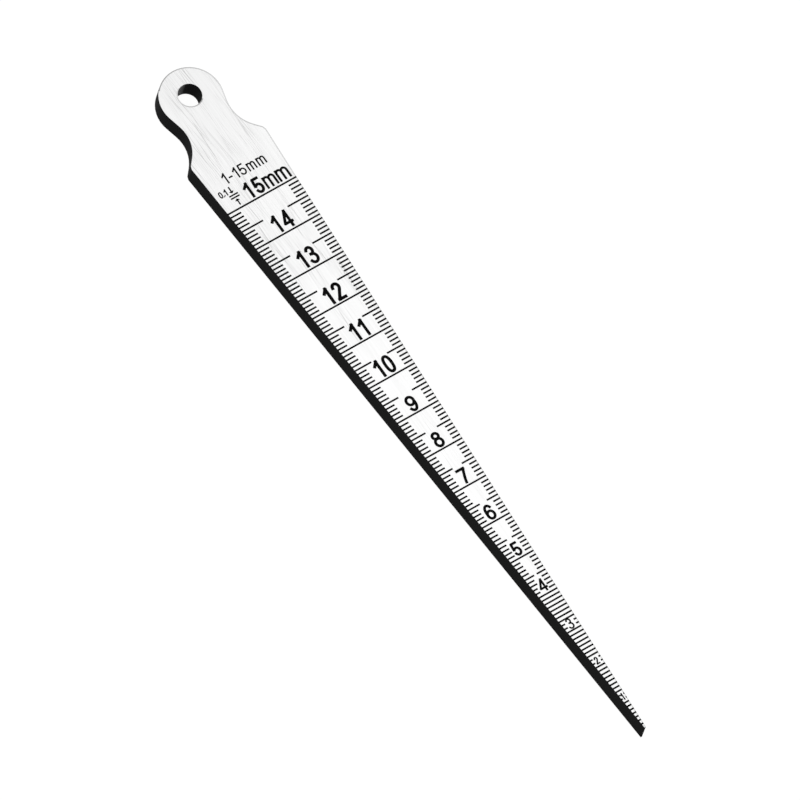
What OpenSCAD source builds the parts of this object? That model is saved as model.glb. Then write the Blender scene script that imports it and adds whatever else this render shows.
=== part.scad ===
// Taper gauge: one flat steel plate. The blade narrows evenly from the shoulders to the tip,
// so its width at every line across it equals the reading of that line in mm.
// X runs along the plate to the tip, Y across it, and Z up from the face it lies on.

/* [Blade] */

// Reading of the widest line, which is the width of the blade there, mm
top_reading = 15; // [14:1:18]

// Length of blade to each 1 mm of its width
taper_ratio = 8.25; // [7.5:0.25:10]

// Width of the blunt tip, mm
tip_width = 0.3; // [0.2:0.1:0.6]

// Thickness of the plate, mm
thickness = 4.2; // [2:0.1:5]

/* [Handle] */

// Length of plain blade between the widest line and the shoulder corners, mm
plain_length = 11; // [9:0.5:14]

// Length of the small flat that blunts each shoulder corner, mm
shoulder_flat = 0.7; // [0.4:0.1:1.2]

// Slope of the shoulder flanks to the axis, degrees
flank_angle = 42.5; // [38:0.5:47]

// Width of the neck at its narrowest, mm
neck_width = 10; // [9:0.1:11]

// Radius of the hollow on each side of the neck, mm
neck_radius = 6.75; // [6:0.25:7.5]

// Length of the straight cheek between each hollow and the rounded head, mm
cheek_length = 2.4; // [1.6:0.2:4]

// Radius of the rounded head, mm
head_radius = 6; // [5.4:0.1:7]

/* [Hanging hole] */

// Diameter of the hole, mm
hole_diameter = 4.5; // [3:0.1:5.5]

// Distance of the hole from the centre of the head, towards the end, mm
hole_offset = 0.5; // [0:0.1:0.8]

/* [Graduation] */

// Width of an etched line, mm
line_width = 0.35; // [0.2:0.05:0.4]

// Depth of an etched line, mm
line_depth = 0.05; // [0.03:0.01:0.1]

// Reading below which every line runs across the whole blade
fine_reading = 4; // [3:1:5]

// Length of a short tick at the narrow end, mm
short_tick = 1.05; // [0.9:0.05:1.2]

// Growth of a short tick with the width of the blade
short_ratio = 0.08; // [0.06:0.01:0.1]

// Length of a half tick at the narrow end, mm
half_tick = 0.8; // [0.7:0.05:0.9]

// Growth of a half tick with the width of the blade
half_ratio = 0.26; // [0.22:0.01:0.28]

// Share of the width that a broken line leaves clear for a numeral
numeral_share = 0.58; // [0.5:0.02:0.64]

/* [Hidden] */

$fn = 96;

// Lines to each 1 mm of reading
divisions = 10;

// How far a cutter stands clear of the plate
over = 1;

// Half of the angle between the two measuring edges, degrees
half_taper = atan(0.5 / taper_ratio);

// Places along the plate, counted from the widest line towards the tip
tip_at = (top_reading - tip_width) * taper_ratio;
shoulder_at = -plain_length;

// Half width at the shoulder corners, where the measuring edges begin
shoulder_half = (top_reading + plain_length / taper_ratio) / 2;

// Length taken off the flank and off the measuring edge by the flat at the shoulder corner
corner_back = shoulder_flat / 2 / cos((flank_angle + half_taper) / 2);

// Centre of the neck hollow: it touches the flank and leaves the neck its width
hollow_y = neck_width / 2 + neck_radius;
flank_rise = shoulder_half - hollow_y + neck_radius * cos(flank_angle);
hollow_at = shoulder_at - neck_radius * sin(flank_angle) - flank_rise / tan(flank_angle);

// Centres of the head and of the hole: the straight cheek touches both head and hollow
touching = head_radius + neck_radius;
head_reach = sqrt(touching * touching + cheek_length * cheek_length - hollow_y * hollow_y);
head_at = hollow_at - head_reach;
hole_at = head_at - hole_offset;

// Slope of the cheek to the axis, degrees
cheek_angle = atan2(head_reach, hollow_y) - atan2(cheek_length, touching);

// Points of one long side: cheek, hollow, flank, blunted corner and measuring edge
side = [
    [head_at + head_radius * sin(cheek_angle), head_radius * cos(cheek_angle)],
    [hollow_at - neck_radius * sin(cheek_angle), hollow_y - neck_radius * cos(cheek_angle)],
    [hollow_at + neck_radius * sin(flank_angle), hollow_y - neck_radius * cos(flank_angle)],
    [shoulder_at - corner_back * cos(flank_angle), shoulder_half - corner_back * sin(flank_angle)],
    [shoulder_at + corner_back * cos(half_taper), shoulder_half - corner_back * sin(half_taper)],
    [tip_at, tip_width / 2]
];

// The plate's length, and the place that comes to X = 0
plate_length = tip_at - head_at + head_radius;
middle = tip_at - plate_length / 2;

// Node to show, or all of them

// Place along X of a reading
function place(reading) = (top_reading - reading) * taper_ratio;

// Distance off the axis where the line at a number of divisions begins on one side, 0 if it is whole.
// The lines next to a numeral at the fine end leave it clear, and on the left those of the next one too
function clear_half(count, hand) =
    let (reading = count / divisions, part = count % divisions, by_numeral = part < 3)
    part == 0 ? 0
    : by_numeral && reading > 1 && reading < fine_reading + (hand < 0 ? 1 : 0)
        ? numeral_share * reading / 2
    : reading < fine_reading ? 0
    : part == divisions / 2 ? reading / 2 - half_tick - half_ratio * reading
    : reading / 2 - short_tick - short_ratio * reading;

// The plain plate: straight sides joined by the arcs of the head and of the two hollows
module plate() {
    last = len(side) - 1;
    difference() {
        union() {
            linear_extrude(thickness)
                polygon(concat(side, [for (i = [last:-1:0]) [side[i].x, -side[i].y]]));
            translate([head_at, 0, 0])
                cylinder(h = thickness, r = head_radius);
        }
        for (hand = [-1, 1])
            translate([hollow_at, hand * hollow_y, -over])
                cylinder(h = thickness + 2 * over, r = neck_radius);
    }
}

// Cutter for one etched stroke across the blade, from one distance off the axis to another
module stroke(reading, start, end) {
    translate([place(reading) - line_width / 2, start, thickness - line_depth])
        cube([line_width, end - start, line_depth + over]);
}

// Cutters for all the lines: whole numbers and the fine end run across, the others are ticks
module graduation() {
    for (count = [round(tip_width * divisions) + 1 : top_reading * divisions]) {
        reading = count / divisions;
        left = clear_half(count, -1);
        right = clear_half(count, 1);
        edge = reading / 2 + over;
        if (right == 0) {
            stroke(reading, -edge, edge);
        } else {
            stroke(reading, right, edge);
            stroke(reading, -edge, -left);
        }
    }
}

// The whole gauge: the plate with its hanging hole and the lines etched into its upper face
module gauge() {
    color("silver")
        translate([-middle, 0, 0])
            difference() {
                plate();
                translate([hole_at, 0, -over])
                    cylinder(h = thickness + 2 * over, d = hole_diameter);
                graduation();
            }
}

gauge();
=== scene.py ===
import math

import bmesh
import bpy
import numpy as np
from mathutils import Matrix, Vector


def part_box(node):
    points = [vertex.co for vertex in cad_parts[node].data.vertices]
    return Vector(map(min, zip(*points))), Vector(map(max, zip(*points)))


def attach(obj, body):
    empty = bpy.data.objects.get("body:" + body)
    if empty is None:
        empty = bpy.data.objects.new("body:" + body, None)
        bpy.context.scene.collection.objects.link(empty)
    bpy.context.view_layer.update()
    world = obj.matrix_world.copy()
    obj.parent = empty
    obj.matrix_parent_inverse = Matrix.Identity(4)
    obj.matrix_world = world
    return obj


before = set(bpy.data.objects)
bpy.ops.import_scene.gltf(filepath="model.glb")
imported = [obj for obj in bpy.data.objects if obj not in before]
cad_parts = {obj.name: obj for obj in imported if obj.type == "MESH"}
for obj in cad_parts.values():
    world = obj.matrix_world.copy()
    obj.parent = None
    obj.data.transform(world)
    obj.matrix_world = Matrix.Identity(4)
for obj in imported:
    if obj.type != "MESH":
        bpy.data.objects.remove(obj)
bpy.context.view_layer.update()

# The plate is one piece of stainless steel: a blade that tapers to a point and a handle with a
# hanging hole. It is ground flat and brushed along its length. Its cut edges are coloured near black,
# and the lines of the scale are etched in its upper face and filled with black.
MM = 0.001
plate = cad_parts["gauge"]
low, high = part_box("gauge")


def linear(colour):
    """The linear values of an sRGB colour that is written as six hex digits."""
    parts = [int(colour[at:at + 2], 16) / 255 for at in (0, 2, 4)]
    return [p / 12.92 if p <= 0.04045 else ((p + 0.055) / 1.055) ** 2.4 for p in parts] + [1.0]


def add(tree, kind, inputs, **settings):
    """Adds a node with its settings. Each input, named or numbered, is a value or a linked output."""
    node = tree.nodes.new(kind)
    for name, value in settings.items():
        setattr(node, name, value)
    for name, value in inputs.items():
        if isinstance(value, bpy.types.NodeSocket):
            tree.links.new(value, node.inputs[name])
        else:
            node.inputs[name].default_value = value
    return node


def marks(tree, length, width, detail, heading=0.0):
    """Noise drawn out into marks of about this length and width in millimetres.

    The marks run along the plate, or at a heading to it in degrees.
    """
    size = (length * MM, width * MM, width * MM)
    turn = (0.0, 0.0, math.radians(heading))
    place = add(tree, "ShaderNodeTexCoord", {})
    drawn = add(tree, "ShaderNodeMapping",
                {"Vector": place.outputs["Object"], "Scale": size, "Rotation": turn},
                vector_type="TEXTURE")
    noise = {"Vector": drawn.outputs["Vector"], "Scale": 1.0, "Detail": detail, "Roughness": 0.6}
    return add(tree, "ShaderNodeTexNoise", noise).outputs[0]


def facing(tree, way, least, most):
    """How far a surface faces one way on the plate, from 0 at the least share to 1 at the most."""
    place = add(tree, "ShaderNodeTexCoord", {})
    share = add(tree, "ShaderNodeVectorMath", {0: place.outputs["Normal"], 1: way},
                operation="DOT_PRODUCT")
    limits = {"Value": share.outputs["Value"], "From Min": least, "From Max": most}
    return add(tree, "ShaderNodeMapRange", limits).outputs[0]


def matt(name, grain, tones, roughness, specular, side=None):
    """A matt material. Its tone and roughness vary between two values each, with the marks of a grain.

    Where a side is given, as a way with its least and most share, the tone goes by what faces that way,
    which paints light and shade into it.
    """
    finish = bpy.data.materials.new(name)
    finish.use_nodes = True
    tree = finish.node_tree
    shader = tree.nodes["Principled BSDF"]
    noise = marks(tree, *grain)
    share = facing(tree, *side) if side else noise
    tone = add(tree, "ShaderNodeMix", {0: share, 6: linear(tones[0]), 7: linear(tones[1])},
               data_type="RGBA")
    rough = add(tree, "ShaderNodeMapRange",
                {"Value": noise, "To Min": roughness[0], "To Max": roughness[1]})
    tree.links.new(tone.outputs[2], shader.inputs["Base Color"])
    tree.links.new(rough.outputs[0], shader.inputs["Roughness"])
    shader.inputs["Specular IOR Level"].default_value = specular
    return finish


# Brushed stainless steel gives a bright neutral grey with faint hairlines along the plate and, in
# groups, deeper scratches that cross at small angles. The real marks are about 0.05 mm wide, too fine
# for the picture, so they are drawn about three times as wide.
steel = bpy.data.materials.new("brushed_stainless_steel")
steel.use_nodes = True
tree = steel.node_tree
shader = tree.nodes["Principled BSDF"]
hairlines = marks(tree, 9, 0.17, 2.0)
scratches = add(tree, "ShaderNodeMath",
                {0: marks(tree, 13, 0.15, 1.0, 4.5), 1: marks(tree, 11, 0.15, 1.0, -2.5)},
                operation="MAXIMUM")
groups = marks(tree, 20, 3.5, 1.0)
fine = add(tree, "ShaderNodeMapRange", {"Value": hairlines, "From Min": 0.3, "From Max": 0.7})
tone = add(tree, "ShaderNodeMix", {0: fine.outputs[0], 6: linear("dfdfdf"), 7: linear("e5e5e5")},
           data_type="RGBA")
deep = add(tree, "ShaderNodeMapRange",
           {"Value": scratches.outputs[0], "From Min": 0.59, "From Max": 0.7})
# The handle and the wide part of the blade are scratched most, and the outer half of the blade least.
scratched_to, faded_from = -30 * MM, 5 * MM
place = add(tree, "ShaderNodeTexCoord", {})
split = add(tree, "ShaderNodeSeparateXYZ", {0: place.outputs["Object"]})
fade = add(tree, "ShaderNodeMapRange",
           {"Value": split.outputs["X"], "From Min": scratched_to, "From Max": faded_from,
            "To Min": 1.0, "To Max": 0.4})
here = add(tree, "ShaderNodeMapRange",
           {"Value": groups, "From Min": 0.4, "From Max": 0.6, "To Max": fade.outputs[0]})
# One side of the handle is scratched all along, from the head to the shoulder.
handle_side = (-62 * MM, -3.2 * MM, high.z)
side_reach = (18 * MM, 2.4 * MM, 1.0)
side_turn = (0.0, 0.0, math.radians(-8))
offset = add(tree, "ShaderNodeMapping",
             {"Vector": place.outputs["Object"], "Location": handle_side, "Rotation": side_turn,
              "Scale": side_reach}, vector_type="TEXTURE")
away = add(tree, "ShaderNodeVectorMath", {0: offset.outputs["Vector"]}, operation="LENGTH")
side = add(tree, "ShaderNodeMapRange",
           {"Value": away.outputs["Value"], "From Min": 1.2, "From Max": 0.5})
often = add(tree, "ShaderNodeMath", {0: here.outputs[0], 1: side.outputs[0]}, operation="MAXIMUM")
worn = add(tree, "ShaderNodeMath", {0: deep.outputs[0], 1: often.outputs[0]}, operation="MULTIPLY")
colour = add(tree, "ShaderNodeMix", {0: worn.outputs[0], 6: tone.outputs[2], 7: linear("b7b7b7")},
             data_type="RGBA")
rough = add(tree, "ShaderNodeMapRange", {"Value": hairlines, "To Min": 0.4, "To Max": 0.28})
bump = add(tree, "ShaderNodeBump", {"Height": hairlines, "Strength": 0.04, "Distance": 0.01 * MM})
tree.links.new(colour.outputs[2], shader.inputs["Base Color"])
tree.links.new(rough.outputs[0], shader.inputs["Roughness"])
tree.links.new(bump.outputs[0], shader.inputs["Normal"])
shader.inputs["Metallic"].default_value = 1.0

# Matt near-black steel on the cut edges, with fine grinding lines along the edge.
edge_black = matt("near_black_steel_edge", (3, 0.15, 2.0), ("050505", "161616"), (0.5, 0.65), 0.01)

# Black etching filler lies matt in the lines and numerals, a little uneven where it took less well.
etch_black = matt("black_etching_filler", (0.25, 0.25, 3.0), ("050505", "0c0c0c"), (0.6, 0.85), 0.03)

# In the bore of the hole the black turns to grey on one side, as a painted highlight on the wall that
# faces one way.
highlight_side = (0.97, 0.24, 0.0)
bore_painted_highlight = matt("black_bore_painted_highlight", (0.4, 0.4, 2.0), ("0d0d0d", "646464"), (0.5, 0.65), 0.01,
                  (highlight_side, 0.86, 1.0))

# A level face is steel unless it is the floor of a line, and the rest are bore, line or cut edge.
# All of a line lies above line_bottom, and its floor lies below line_middle. The bore is the rest of
# what stands within hole_reach of the middle of the hole.
level_share = 0.9
line_depth = 0.05 * MM
line_bottom, line_middle = high.z - 1.2 * line_depth, high.z - 0.5 * line_depth
hole_x, hole_reach = low.x + 5.5 * MM, 2.4 * MM
finishes = [steel, edge_black, etch_black, bore_painted_highlight]
plate.data.materials.clear()
for finish in finishes:
    plate.data.materials.append(finish)
for face in plate.data.polygons:
    lowest = min(plate.data.vertices[corner].co.z for corner in face.vertices)
    level = abs(face.normal.z) > level_share
    in_line = lowest > line_bottom
    if level and not (in_line and lowest < line_middle):
        finish = steel
    elif math.hypot(face.center.x - hole_x, face.center.y) < hole_reach:
        finish = bore_painted_highlight
    else:
        finish = etch_black if in_line else edge_black
    face.material_index = finishes.index(finish)

# The rim is where grinding broke the sharp edge of the upper face and of the hole. It is a thin layer
# whose grey is painted shade: a fine grey line, crossed by the etched lines, on the far long side,
# round the end of the handle and on part of the hole. The long side towards the camera has stayed
# sharp.
rim_width, rim_rise = 0.2 * MM, 0.02 * MM
film = 0.01 * MM
layer_depth = 3 * film
weld_reach = 0.001 * MM
outline_reach = 0.002 * MM
# The rim leans outward. It stops where the edge turns to within about 80 degrees of the sharp side.
lean = rim_rise / rim_width
sharp_side = Vector((0.6, -0.8, 0.0))
sharp_from = lean / 6
# The broken edge is painted with shade by the way it faces: a mid grey round the end of the handle,
# where it turns to the dark long side, and a pale grey along the far long side.
shaded_side = (-0.5, -0.866, 0.0)
rim_painted_shade = matt("painted_shade_rim", (3, 1, 2.0), ("dbdbdb", "9b9b9b"), (0.5, 0.7), 0.1,
                 (shaded_side, -lean, lean))


def laid(name, sheet, finish):
    """Makes a thin layer out of faces that stand a little above the plate, and lets it ride there.

    The layer goes down to the plate or into it, so no gap shows under it.
    """
    mesh = bpy.data.meshes.new(name)
    sheet.to_mesh(mesh)
    sheet.free()
    mesh.materials.append(finish)
    piece = bpy.data.objects.new(name, mesh)
    bpy.context.scene.collection.objects.link(piece)
    depth = piece.modifiers.new("depth", "SOLIDIFY")
    depth.thickness = layer_depth
    depth.offset = -1
    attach(piece, "root")


strip = bmesh.new()
strip.from_mesh(plate.data)
bmesh.ops.remove_doubles(strip, verts=strip.verts, dist=weld_reach)
under = {face for face in strip.faces if face.normal.z < -level_share}
outline = np.array([[end.co.xy for end in edge.verts] for edge in strip.edges
                    if len(under.intersection(edge.link_faces)) == 1])
start, along = outline[:, 0], outline[:, 1] - outline[:, 0]


def on_outline(edge):
    """Whether the middle of an edge stands over the outline of the face that the gauge lies on."""
    middle = np.array((edge.verts[0].co + edge.verts[1].co).xy) / 2
    share = ((middle - start) * along).sum(1) / (along ** 2).sum(1)
    foot = start + np.clip(share, 0, 1)[:, None] * along
    return np.hypot(*(middle - foot).T).min() < outline_reach


other = [face for face in strip.faces
         if face.normal.z < level_share or face.verts[0].co.z < high.z - film]
bmesh.ops.delete(strip, geom=other, context="FACES")
bands = bmesh.ops.inset_region(strip, faces=strip.faces, thickness=rim_width, depth=rim_rise,
                               use_boundary=True, use_even_offset=True)["faces"]
strip.normal_update()
kept = {face for face in bands if face.normal.dot(sharp_side) < sharp_from
        and any(edge.is_boundary and on_outline(edge) for edge in face.edges)}
bmesh.ops.delete(strip, geom=[face for face in strip.faces if face not in kept], context="FACES")
bmesh.ops.translate(strip, verts=strip.verts, vec=(0, 0, film))
laid("rim", strip, rim_painted_shade)

# The numerals are etched beside the lines of the whole readings, upright when the point is held
# down, and filled with the same black. Each is drawn with a pen of one width and square ends.
# The blade is as wide as its reading, and each 1 mm of reading takes up one run of its length.
tip_reading, top_reading = 0.3, 15
run = 8.25


def bow(middle_x, middle_y, half_width, half_height, start, end, fullness=2.0):
    """Points along part of an oval, from one angle to another; more fullness squares it up."""
    degrees_apart = 9
    points = []
    count = max(3, round(abs(end - start) / degrees_apart) + 1)
    for angle in np.radians(np.linspace(start, end, count)):
        across, up = math.cos(angle), math.sin(angle)
        points.append((
            middle_x + half_width * math.copysign(abs(across) ** (2 / fullness), across),
            middle_y + half_height * math.copysign(abs(up) ** (2 / fullness), up)))
    return points


# The strokes of a six are those of a nine as well, turned round.
six = [bow(0.53, 0.53, 0.53, 0.47, 40, 180) + [(0, 0.294)], bow(0.5, 0.294, 0.5, 0.294, 0, 360)]
# For each sign, its width as a share of its height, and the lines that the middle of the pen
# follows, from 0 to 1 across and up.
signs = {
    "0": (0.51, [bow(0.5, 0.5, 0.5, 0.5, 0, 360, 2.4)]),
    "1": (0.345, [[(1, 0), (1, 1)], [(1, 0.98), (0, 0.74)]]),
    "2": (0.515, [bow(0.52, 0.76, 0.48, 0.24, 172, -30) + [(0.03, 0.02)], [(0, 0), (1, 0)]]),
    "3": (0.52, [bow(0.45, 0.77, 0.43, 0.23, 155, -75), [(0.4, 0.555), (0.55, 0.555)],
                  bow(0.47, 0.275, 0.53, 0.275, 80, -155)]),
    "4": (0.56, [[(0.74, 1), (0, 0.25), (1, 0.25)], [(0.77, 0), (0.77, 1)]]),
    "5": (0.565, [[(0.93, 1), (0.14, 1), (0.04, 0.51)], bow(0.5, 0.295, 0.5, 0.295, 138, -155)]),
    "6": (0.57, six),
    "7": (0.6, [[(0, 1), (1, 1)],
                [(1, 0.98), (0.82, 0.77), (0.63, 0.53), (0.455, 0.28), (0.34, 0.07), (0.31, 0)]]),
    "8": (0.6, [bow(0.5, 0.79, 0.42, 0.21, 0, 360), bow(0.5, 0.285, 0.5, 0.285, 0, 360)]),
    "9": (0.6, [[(1 - x, 1 - y) for x, y in line] for line in six]),
    "m": (1.02, [[(0, 0), (0, 1)], bow(0.25, 0.7, 0.25, 0.3, 180, 0) + [(0.5, 0)],
                 bow(0.75, 0.7, 0.25, 0.3, 180, 0) + [(1, 0)]]),
    "-": (0.35, [[(0, 0.4), (1, 0.4)]]),
    ",": (0.12, [[(0.5, 0.04), (0.5, 0), (-1.5, -0.16)]]),
}
# Between signs, and for a small letter, the share of a row's height.
sign_gap = 0.165
small_letter = 0.74


def sign(kind, left, base, width, height, pen):
    """The pen strokes of one sign that fills a box, each with the pen's width."""
    return [([(left + pen / 2 + x * (width - pen), base + pen / 2 + y * (height - pen))
              for x, y in line], pen) for line in signs[kind][1]]


def written(text, middle, base, height, pen, wider=1.0):
    """The pen strokes of signs in a row about a middle, each wider than its sign by a factor."""
    heights = [height * (small_letter if kind == "m" else 1) for kind in text]
    widths = [tall * signs[kind][0] * wider for kind, tall in zip(text, heights)]
    gap = height * sign_gap
    left = middle - (sum(widths) + gap * (len(text) - 1)) / 2
    strokes = []
    for kind, width, tall in zip(text, widths, heights):
        strokes += sign(kind, left, base, width, tall, pen)
        left += width + gap
    return strokes


def spread(points, pen, across, up):
    """How far each point of a grid is outside a pen stroke, which has square ends unless it closes."""
    points = [Vector(p) for p in points]
    same_place = 0.001
    closed = (points[0] - points[-1]).length < same_place
    if not closed:
        points[0] += (points[0] - points[1]).normalized() * pen / 2
        points[-1] += (points[-1] - points[-2]).normalized() * pen / 2
    outside = np.full(across.shape, np.inf)
    for a, b in zip(points, points[1:]):
        length = (b - a).length
        along = ((across - a.x) * (b.x - a.x) + (up - a.y) * (b.y - a.y)) / length
        share = np.clip(along / length, 0, 1)
        away = np.hypot(across - a.x - share * (b.x - a.x), up - a.y - share * (b.y - a.y)) - pen / 2
        if a is points[0] and not closed:
            away = np.maximum(away, -along)
        if b is points[-1] and not closed:
            away = np.maximum(away, along - length)
        outside = np.minimum(outside, away)
    return outside


def fill(sheet, strokes, reading):
    """Adds the ground that pen strokes cover to a sheet, as one flat shape cut from small squares.

    The strokes are in millimetres from the middle of the line of a reading, across and up.
    """
    cells_to_pen = 8
    cell = min(pen for line, pen in strokes) / cells_to_pen
    margin = max(pen for line, pen in strokes)
    points = np.array([p for line, pen in strokes for p in line])
    start = points.min(0) - margin
    count = np.ceil((points.max(0) + margin - start) / cell).astype(int) + 1
    across, up = np.meshgrid(start[0] + cell * np.arange(count[0]),
                             start[1] + cell * np.arange(count[1]), indexing="ij")
    field = np.min([spread(line, pen, across, up) for line, pen in strokes], axis=0)
    line_x = high.x - (reading - tip_reading) * run * MM
    made = {}

    def corner(a, b):
        """The point between two corners of a square where the edge of the shape crosses, made once."""
        if (a, b) not in made:
            share = 0 if a == b else field[a] / (field[a] - field[b])
            x, y = (grid[a] + share * (grid[b] - grid[a]) for grid in (across, up))
            made[a, b] = sheet.verts.new((line_x - y * MM, x * MM, high.z + film))
        return made[a, b]

    for i, j in np.ndindex(count[0] - 1, count[1] - 1):
        ring = [(i, j), (i + 1, j), (i + 1, j + 1), (i, j + 1)]
        face = []
        for a, b in zip(ring, ring[1:] + ring[:1]):
            if field[a] < 0:
                face.append(corner(a, a))
            if (field[a] < 0) != (field[b] < 0):
                face.append(corner(*sorted((a, b))))
        if face:
            sheet.faces.new(face)


def etched(name, rows):
    """Lays one layer of filler for rows of pen strokes, each with the reading of its line."""
    sheet = bmesh.new()
    for reading, strokes in rows:
        fill(sheet, strokes, reading)
    # The squares need their directions before those that lie level can be joined.
    sheet.normal_update()
    bmesh.ops.dissolve_limit(sheet, angle_limit=0.01, verts=sheet.verts, edges=sheet.edges)
    laid(name, sheet, etch_black)


# For each numeral: its height, its distance above the line, its middle across, the pen, and how much
# wider it is drawn than its sign.
numerals = {
    1: (1.5, 0.45, -0.15, 0.26, 1), 2: (1.53, 0.38, -0.1, 0.29, 1), 3: (2.24, 0.2, -0.1, 0.32, 1),
    4: (2.66, 0.47, -0.16, 0.42, 1.12), 5: (2.86, 0.36, -0.11, 0.5, 1), 6: (3.18, 0.34, -0.12, 0.53, 1),
    7: (3.16, 0.38, -0.07, 0.55, 1), 8: (3.24, 0.33, -0.09, 0.56, 1), 9: (3.26, 0.31, -0.09, 0.56, 1),
    10: (3.72, 0.4, -0.15, 0.6, 1), 11: (3.7, 0.37, -0.1, 0.59, 1), 12: (3.7, 0.38, 0.14, 0.63, 1),
    13: (3.72, 0.47, 0.18, 0.6, 1), 14: (3.68, 0.4, 0.2, 0.57, 1)}
# The highest numeral has its unit beside it. For each sign: its left side, base, width, height and pen.
highest = [("1", -2.33, 0.41, 1.22, 3.33, 0.54), ("5", -0.45, 0.41, 1.83, 3.33, 0.58),
           ("m", 1.66, 0.47, 2.54, 2.5, 0.46), ("m", 4.41, 0.47, 2.54, 2.5, 0.46)]
rows = [(reading, written(str(reading), middle, above, height, pen, wider))
        for reading, (height, above, middle, pen, wider) in numerals.items()]
rows.append((top_reading, [stroke for box in highest for stroke in sign(*box)]))
etched("numerals", rows)

# The sign beside the highest line says that the lines stand for tenths of a millimetre: two short
# lines with an arrow to each, and the figure. It is etched and filled as the numerals are.
figure = [("0", -6.88, 3.14, 0.72, 1.35, 0.24), (",", -5.98, 3.3, 0.3, 1.35, 0.18),
          ("1", -5.72, 3.14, 0.5, 1.35, 0.25)]
line_left, line_right, line_pen = -5.22, -3.63, 0.3
line_heights = (2.74, 2.2)
arrow_at, arrow_pen = -4.42, 0.29
arrow_ends = ((4.36, 3.1), (0.64, 1.86))
head_length, head_reach, head_pen = 0.4, 0.4, 0.12
strokes = [([(line_left, up), (line_right, up)], line_pen) for up in line_heights]
for end, tip in arrow_ends:
    base = tip + math.copysign(head_length, end - tip)
    strokes.append(([(arrow_at, end), (arrow_at, base)], arrow_pen))
    # Short strokes across, wider towards the base, fill the head.
    for share in (0.2, 0.45, 0.7, 0.95):
        reach = share * head_reach
        height = tip + share * (base - tip)
        strokes.append(([(arrow_at - reach, height), (arrow_at + reach, height)], head_pen))
etched("division_sign", [(top_reading, [stroke for box in figure for stroke in sign(*box)]),
                         (top_reading, strokes)])

# The range mark above the highest line says what the gauge measures. It is etched with a finer pen
# than the numerals and filled with the same black.
range_middle, range_above, range_height, range_pen = 0.1, 5.0, 2.3, 0.31
etched("range", [(top_reading, written("1-15mm", range_middle, range_above, range_height, range_pen))])

# The stage is a pale opal table with light in it and a white tent round it, as small tools are often
# photographed, so the gauge lies on a plain pale ground with hardly any shadow.
stage_half = 2.0
table_gap = 0.02 * MM
table = bmesh.new()
bmesh.ops.create_grid(table, x_segments=4, y_segments=4, size=stage_half)
mesh = bpy.data.meshes.new("table")
table.to_mesh(mesh)
table.free()
floor = bpy.data.objects.new("table", mesh)
bpy.context.scene.collection.objects.link(floor)
floor.location.z = -table_gap
# Opal acrylic gives an even white glow, with clouds so faint that they hardly show.
opal = bpy.data.materials.new("opal_acrylic")
opal.use_nodes = True
tree = opal.node_tree
shader = tree.nodes["Principled BSDF"]
clouds = marks(tree, 300, 300, 1.0)
tone = add(tree, "ShaderNodeMix", {0: clouds, 6: linear("484848"), 7: linear("4c4c4c")},
           data_type="RGBA")
tree.links.new(tone.outputs[2], shader.inputs["Base Color"])
shader.inputs["Roughness"].default_value = 0.9
shader.inputs["Specular IOR Level"].default_value = 0.1
shader.inputs["Emission Color"].default_value = linear("ffffff")
shader.inputs["Emission Strength"].default_value = 0.97
mesh.materials.append(opal)

tent = bpy.data.worlds.new("tent")
tent.use_nodes = True
tent.node_tree.nodes["Background"].inputs["Color"].default_value = linear("ffffff")
tent.node_tree.nodes["Background"].inputs["Strength"].default_value = 1.0
bpy.context.scene.world = tent
bpy.context.scene.view_settings.view_transform = "Standard"

# A studio lamp with a square of white cloth before it stands where the outer half of the blade, towards
# the point, mirrors it to the camera.
mirrored = Vector((0.043, 0.0, 0.0))
to_lamp = Vector((-0.276, 0.365, 0.889))
lamp_away = 0.36
lamp = bpy.data.lights.new("softbox", "AREA")
lamp.shape = "SQUARE"
lamp.size = 0.2
lamp.energy = 0.06
softbox = bpy.data.objects.new("softbox", lamp)
bpy.context.scene.collection.objects.link(softbox)
softbox.location = mirrored + lamp_away * to_lamp
softbox.rotation_mode = "QUATERNION"
softbox.rotation_quaternion = (mirrored - softbox.location).to_track_quat("-Z", "Y")

# The camera looks down on the gauge from far off through a long lens, turned so that the handle is
# at the upper left of the picture and the point at the lower right.
azimuth, elevation, roll = (math.radians(angle) for angle in (37.09, 62.77, 20.33))
sensor = 36.0
lens = 1600.0
picture_width = 142.53 * MM
aim = Vector((-0.42, -1.51, 4.2)) * MM
back = Vector((math.sin(azimuth) * math.cos(elevation), -math.cos(azimuth) * math.cos(elevation),
               math.sin(elevation)))
level_right = Vector((math.cos(azimuth), math.sin(azimuth), 0))
right = Matrix.Rotation(roll, 3, back) @ level_right
view = bpy.data.cameras.new("camera")
view.sensor_width = sensor
view.lens = lens
view.clip_start, view.clip_end = 0.1, 20.0
camera = bpy.data.objects.new("camera", view)
bpy.context.scene.collection.objects.link(camera)
turn = Matrix((right, back.cross(right), back)).transposed()
camera.matrix_world = Matrix.Translation(aim + back * picture_width * lens / sensor) @ turn.to_4x4()
bpy.context.scene.camera = camera
